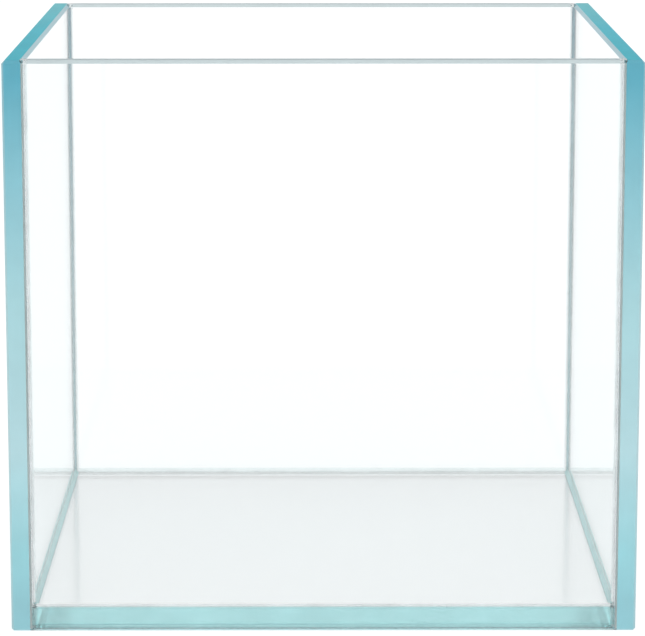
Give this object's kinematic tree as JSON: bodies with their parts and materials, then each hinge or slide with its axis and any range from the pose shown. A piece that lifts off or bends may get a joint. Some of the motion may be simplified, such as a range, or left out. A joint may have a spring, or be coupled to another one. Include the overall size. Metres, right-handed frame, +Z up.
{
  "type": "glass aquarium tank",
  "caption": "Frameless open-top glass aquarium with a square footprint: bevelled thick clear panes bonded edge to face with clear silicone.",
  "frame": {"origin": "centre of the footprint, on the plane that the tank stands on", "axes": "+Z up, -Y out of the front pane, +X along the width to the right as seen from the front"},
  "size_m": [0.3, 0.3, 0.275],
  "materials": {
    "clear_glass": "polished clear float glass, aqua at the edges",
    "clear_silicone": "translucent, smooth"
  },
  "bodies": {
    "root": {"front_pane": "clear_glass", "back_pane": "clear_glass", "left_pane": "clear_glass", "right_pane": "clear_glass", "base_pane": "clear_glass", "corner_bond_front_left": "clear_silicone", "corner_bond_front_right": "clear_silicone", "corner_bond_back_left": "clear_silicone", "corner_bond_back_right": "clear_silicone", "corner_bead_front_left": "clear_silicone", "corner_bead_front_right": "clear_silicone", "corner_bead_back_left": "clear_silicone", "corner_bead_back_right": "clear_silicone", "base_bond_front": "clear_silicone", "base_bead_front": "clear_silicone", "base_bond_back": "clear_silicone", "base_bead_back": "clear_silicone", "base_bond_left": "clear_silicone", "base_bead_left": "clear_silicone", "base_bond_right": "clear_silicone", "base_bead_right": "clear_silicone"}
  },
  "joints": []
}
